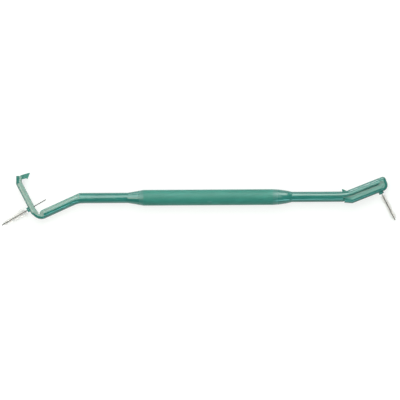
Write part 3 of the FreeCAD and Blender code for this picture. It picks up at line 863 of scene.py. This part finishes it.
@dataclass
class TwistedWire:
    """One length of wire folded at the brush's tip and twisted on itself."""

    kind: EndKind
    run: WireRun
    strand_radius: float = 0.12
    strand_offset: float = 0.17
    twist_pitch: float = TWIST_PITCH
    points_per_turn: int = 20
    fold_steps: int = 8
    weld: float = 0.0001
    bend_half_length: float = 0.5

    def strand_point(self, run: float, strand: int) -> Vector:
        """A point on one strand's centre line.

        Args:
            run: Distance from the brush's tip.
            strand: 0 or 1.

        Returns:
            The point, in millimetres.
        """
        centre, _, side = self.run.place(run)
        angle = 2 * math.pi * run / self.twist_pitch + math.pi * strand
        reach = self.strand_offset
        return centre + side * (reach * math.cos(angle)) + Vector((0, 0, reach * math.sin(angle)))

    def centre_line(self) -> list[Vector]:
        """The folded strand's line: down one strand, round the tip and back up the other.

        Returns:
            Points on the line, in millimetres.
        """
        count = round(self.run.length() / self.twist_pitch * self.points_per_turn)
        runs = [self.run.length() * index / count for index in range(count + 1)]
        centre, ahead, side = self.run.place(0)
        fold = [centre + side * (self.strand_offset * math.cos(angle))
                - ahead * (self.strand_offset * math.sin(angle))
                for angle in (math.pi * index / self.fold_steps
                              for index in range(1, self.fold_steps))]
        return ([self.strand_point(run, 0) for run in reversed(runs)] + fold
                + [self.strand_point(run, 1) for run in runs])

    def build(self, finishes: Finishes) -> list[bpy.types.Object]:
        """Sweep the strand along its line.

        Args:
            finishes: The object's materials.

        Returns:
            The one wire.
        """
        name = self.kind.value
        curve = bpy.data.curves.new(f"{name}_strand_line", "CURVE")
        curve.dimensions = "3D"
        curve.bevel_depth = self.strand_radius * MM
        curve.bevel_resolution = 3
        curve.use_fill_caps = True
        points = self.centre_line()
        spline = curve.splines.new("POLY")
        spline.points.add(len(points) - 1)
        for target, point in zip(spline.points, points):
            target.co = (*(point * MM), 1)
        line = bpy.data.objects.new("strand_line", curve)
        bpy.context.scene.collection.objects.link(line)
        bpy.context.view_layer.update()
        bm = bmesh.new()
        swept = bpy.data.meshes.new_from_object(line)
        bm.from_mesh(swept)
        bpy.data.objects.remove(line)
        bmesh.ops.remove_doubles(bm, verts=bm.verts, dist=self.weld * MM)
        bmesh.ops.recalc_face_normals(bm, faces=bm.faces)
        piece = object_from(bm, f"{name}_twisted_wire", finishes.steel, scale=1.0,
                            sharp_angle=ROUND_SHARP_ANGLE)
        if self.kind is EndKind.TAPERED:
            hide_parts("tapered_brush_wire", "tapered_brush_tail")
            ends = [self.run.place(self.run.head + way * self.bend_half_length)[0] * MM
                    for way in (-1, 1)]
            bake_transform(piece)
        else:
            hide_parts("cylindrical_brush_wire")
            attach(piece, "cylindrical_latch")
        return [piece]


@dataclass
class BristleTuft:
    """Nylon filaments held between the wire's strands, which fan out round it.

    Start and stop are distances from the wire's tip. The tuft's first filaments are shorter,
    down to the end share of their length. Fan and lean are spreads in degrees, round the wire
    and along it, and the filaments' lengths vary between two shares of the tuft's radius.
    """

    kind: EndKind
    run: WireRun
    tip_radius: float
    base_radius: float
    seed: int
    count: int = 380
    start: float = 0.5
    stop: float = 13.3
    end_length: float = 0.8
    end_share: float = 0.8
    thickness: float = 0.06
    tip_thickness: float = 0.045
    twist_pitch: float = TWIST_PITCH
    fan: float = 34.0
    lean: float = 4.0
    shortest: float = 0.88
    longest: float = 1.2

    def build(self, finishes: Finishes) -> list[bpy.types.Object]:
        """Plant every filament, both of whose ends are free.

        Args:
            finishes: The object's materials.

        Returns:
            The one tuft.
        """
        chance = random.Random(self.seed)
        bm = bmesh.new()
        for index in range(self.count):
            share = index / (self.count - 1)
            run = self.start + (self.stop - self.start) * share
            centre, ahead, side = self.run.place(run)
            reach = self.tip_radius + (self.base_radius - self.tip_radius) * share
            fade = min(1.0, (run - self.start) / self.end_length)
            reach *= self.end_share + (1 - self.end_share) * fade
            turn = 2 * math.pi * run / self.twist_pitch + math.pi / 2
            for half in range(2):
                angle = turn + math.pi * half + math.radians(chance.gauss(0, self.fan))
                across = side * math.cos(angle) + Vector((0, 0, math.sin(angle)))
                slope = math.tan(math.radians(chance.gauss(0, self.lean)))
                way = (across + ahead * slope).normalized()
                long = reach * chance.uniform(self.shortest, self.longest)
                stand = way.to_track_quat("Z", "Y").to_matrix().to_4x4()
                middle = Matrix.Translation(centre + way * (long / 2))
                bmesh.ops.create_cone(bm, cap_ends=True, segments=4, radius1=self.thickness / 2,
                                      radius2=self.tip_thickness / 2, depth=long,
                                      matrix=middle @ stand)
        name = self.kind.value
        piece = object_from(bm, f"{name}_filaments", finishes.nylon,
                            sharp_angle=ROUND_SHARP_ANGLE)
        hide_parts(f"{name}_brush_bristles")
        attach(piece, "tapered_brush" if self.kind is EndKind.TAPERED else "cylindrical_latch")
        return [piece]


# Studio

@dataclass(frozen=True)
class Softbox:
    """A soft lamp with an even rectangular face, in metres.

    Its strength is how bright the face is, where 1 is white. Along is the way of its width.
    """

    name: str
    centre: tuple[float, float, float]
    aim: tuple[float, float, float]
    width: float
    height: float
    strength: float
    colour: str = "#ffffff"
    along: tuple[float, float, float] = (1.0, 0.0, 0.0)

    def build(self) -> None:
        """Hang the lamp and turn its face to the point that it aims at."""
        lamp = bpy.data.lights.new(self.name, "AREA")
        lamp.shape = "RECTANGLE"
        lamp.size, lamp.size_y = self.width, self.height
        lamp.energy = self.strength * math.pi * self.width * self.height
        lamp.color = linear(self.colour)[:3]
        lantern = bpy.data.objects.new(self.name, lamp)
        back = (Vector(self.centre) - Vector(self.aim)).normalized()
        across = (Vector(self.along) - back * back.dot(Vector(self.along))).normalized()
        turn = Matrix((across, back.cross(across), back)).transposed().to_4x4()
        lantern.matrix_world = Matrix.Translation(self.centre) @ turn
        lantern.visible_camera = False
        bpy.context.scene.collection.objects.link(lantern)


# The two rear lamps draw the broad highlight along each end of the handle, the strip behind
# lights the shanks' upper rims, the left lamps and the right one light the latches' flat sides,
# and the card in front gives the lower half its cool second line.
SOFTBOXES = [
    Softbox("softbox_rear_left", (-0.2, 0.381, 0.587), (-0.2, 0.0, 0.0), 0.42, 0.73, 3.9,
            "#f0fff9"),
    Softbox("softbox_rear_right", (0.16, 0.548, 0.436), (0.16, 0.0, 0.0), 0.36, 0.52, 5.0,
            "#f8fff8"),
    Softbox("strip_behind", (-0.258, 1.0, 0.125), (0.078, 0.0, 0.0), 0.1, 0.25, 9.0),
    Softbox("softbox_left", (-0.45, -0.16, 0.7), (-0.45, -0.16, 0.0), 0.78, 0.22, 4.3, "#fff5e6",
            along=(-0.89, -0.45, 0.0)),
    Softbox("strip_left", (-0.533, -0.226, 0.27), (-0.087, 0.0, 0.0), 0.12, 0.52, 4.4, "#fff5e6",
            along=(-0.452, 0.892, 0.0)),
    Softbox("softbox_right", (0.16, 0.1, 0.7), (0.16, 0.1, 0.0), 0.12, 0.4, 3.3, "#ecfff0"),
    Softbox("card_front_right", (0.208, -0.652, 0.436), (0.05, 0.0, 0.0), 0.34, 0.24, 4.8,
            "#a8ffff"),
]


@dataclass
class Studio:
    """Pale table in a white-walled room with a dim ceiling, soft lamps, and the camera above.

    The picture's width and centre are in millimetres, the roll in degrees and the floor's
    radius in metres. The walls fade into the ceiling between two heights, given as the rise
    of the way to them.
    """

    picture_width: float = 196.0
    centre_x: float = -4.165
    centre_y: float = -1.274
    roll: float = 0.32
    lens: float = 300.0
    sensor: float = 36.0
    floor_colour: str = "#959594"
    floor_glow: float = 0.7
    floor_radius: float = 0.6
    floor_gap: float = 0.02
    world_light: float = 0.22
    wall_level: float = 0.1
    wall_top: float = 0.22

    def build(self) -> None:
        """Make the floor, the world, the lamps and the camera."""
        self.make_floor()
        self.make_world()
        for softbox in SOFTBOXES:
            softbox.build()
        self.make_camera()
        bpy.context.scene.view_settings.view_transform = "Standard"

    def make_floor(self) -> None:
        """Lay the pale table just under the object, white to the camera but for shadows."""
        material, tree = new_material("white_table")
        path = add_node(tree, "ShaderNodeLightPath")
        seen = add_node(tree, "ShaderNodeMath", {0: path.outputs["Is Camera Ray"],
                                                 1: path.outputs["Is Glossy Ray"]},
                        operation="MAXIMUM")
        shown = add_node(tree, "ShaderNodeMath", {0: seen.outputs[0],
                                                  1: path.outputs["Is Transmission Ray"]},
                         operation="MAXIMUM")
        glow = add_node(tree, "ShaderNodeMath", {0: shown.outputs[0], 1: self.floor_glow},
                        operation="MULTIPLY")
        matt = add_node(tree, "ShaderNodeBsdfDiffuse", {"Color": linear(self.floor_colour)})
        light = add_node(tree, "ShaderNodeEmission", {"Color": (1, 1, 1, 1),
                                                      "Strength": glow.outputs[0]})
        both = add_node(tree, "ShaderNodeAddShader", {0: matt.outputs[0], 1: light.outputs[0]})
        add_node(tree, "ShaderNodeOutputMaterial", {"Surface": both.outputs[0]})
        bm = bmesh.new()
        bmesh.ops.create_circle(bm, cap_ends=True, radius=self.floor_radius, segments=96)
        bmesh.ops.translate(bm, vec=(0, 0, CAD_BOX[0].z - self.floor_gap * MM), verts=bm.verts)
        floor = object_from(bm, "white_table", material, scale=1.0)

    def make_world(self) -> None:
        """Fill the room with even light, and show it white to the camera, metal and glass."""
        world = bpy.data.worlds.new("white_room")
        world.use_nodes = True
        tree = world.node_tree
        tree.nodes.clear()
        path = add_node(tree, "ShaderNodeLightPath")
        seen = add_node(tree, "ShaderNodeMath", {0: path.outputs["Is Camera Ray"],
                                                 1: path.outputs["Is Transmission Ray"]},
                        operation="MAXIMUM")
        # Its walls are white, and gloss mirrors them; its ceiling is dim.
        way = add_node(tree, "ShaderNodeTexCoord")
        rise = add_node(tree, "ShaderNodeSeparateXYZ", {0: way.outputs["Generated"]})
        walls = add_node(tree, "ShaderNodeMapRange",
                         {"Value": rise.outputs["Z"], "From Min": self.wall_top,
                          "From Max": self.wall_level}, interpolation_type="SMOOTHSTEP")
        mirrored = add_node(tree, "ShaderNodeMath", {0: walls.outputs[0],
                                                     1: path.outputs["Is Glossy Ray"]},
                            operation="MULTIPLY")
        white = add_node(tree, "ShaderNodeMath", {0: seen.outputs[0], 1: mirrored.outputs[0]},
                         operation="MAXIMUM")
        strength = add_node(tree, "ShaderNodeMapRange",
                            {"Value": white.outputs[0], "To Min": self.world_light,
                             "To Max": 1.0})
        room = add_node(tree, "ShaderNodeBackground", {"Color": (1, 1, 1, 1),
                                                       "Strength": strength.outputs[0]})
        add_node(tree, "ShaderNodeOutputWorld", {"Surface": room.outputs[0]})
        bpy.context.scene.world = world

    def make_camera(self) -> None:
        """Point a long lens straight down, framed and turned as the photograph is."""
        turn = Matrix.Rotation(math.radians(-self.roll), 4, "Z")
        height = self.picture_width * self.lens / self.sensor
        lens = bpy.data.cameras.new("camera")
        lens.lens = self.lens
        lens.sensor_width = self.sensor
        lens.clip_start, lens.clip_end = 0.05, 20.0
        camera = bpy.data.objects.new("camera", lens)
        camera.matrix_world = turn @ Matrix.Translation(
            Vector((self.centre_x, self.centre_y, height)) * MM)
        bpy.context.scene.collection.objects.link(camera)
        bpy.context.scene.camera = camera


@dataclass
class InterdentalBrush:
    """The whole tool: handle, two latches on strap hinges, and two brushes."""

    tapered_run: WireRun = field(default_factory=lambda: WireRun(
        fold_x=-86.162386, fold_y=-4.344865, out_x=-0.866897, out_y=-0.498488,
        head=17.2729, tail=7.4, bend_radius=0.0, bend_angle=0.0))
    cylindrical_run: WireRun = field(default_factory=lambda: WireRun(
        fold_x=83.550697, fold_y=4.017517, out_x=0.446198, out_y=-0.894934,
        head=16.822, tail=7.4, bend_radius=0.5, bend_angle=84.8))

    def build(self, finishes: Finishes) -> None:
        """Build every sub-assembly in order and report its pieces.

        Args:
            finishes: The object's materials.
        """
        assemblies: list[Handle | Latch | StrapHinge | TwistedWire | BristleTuft] = [
            Handle(),
            Latch(EndKind.TAPERED, turn=92.7),
            Latch(EndKind.CYLINDRICAL),
            StrapHinge(EndKind.TAPERED),
            StrapHinge(EndKind.CYLINDRICAL),
            TwistedWire(EndKind.TAPERED, self.tapered_run),
            TwistedWire(EndKind.CYLINDRICAL, self.cylindrical_run),
            BristleTuft(EndKind.TAPERED, self.tapered_run, tip_radius=0.9, base_radius=2.5,
                        seed=11, count=310),
            BristleTuft(EndKind.CYLINDRICAL, self.cylindrical_run, tip_radius=1.4,
                        base_radius=1.4, seed=23),
        ]
        for assembly in assemblies:
            for piece in assembly.build(finishes):
                LOG.info("%s: %d faces", piece.name, len(piece.data.polygons))


def main() -> None:
    """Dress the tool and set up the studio."""
    logging.basicConfig(level=logging.INFO, format="%(name)s: %(message)s")
    finishes = Finishes(POLISHED.build(), SPARK_ERODED.build(), DrawnStainlessSteel().build(),
                        ExtrudedNylon().build())
    InterdentalBrush().build(finishes)
    Studio().build()


if __name__ == "__main__":
    main()
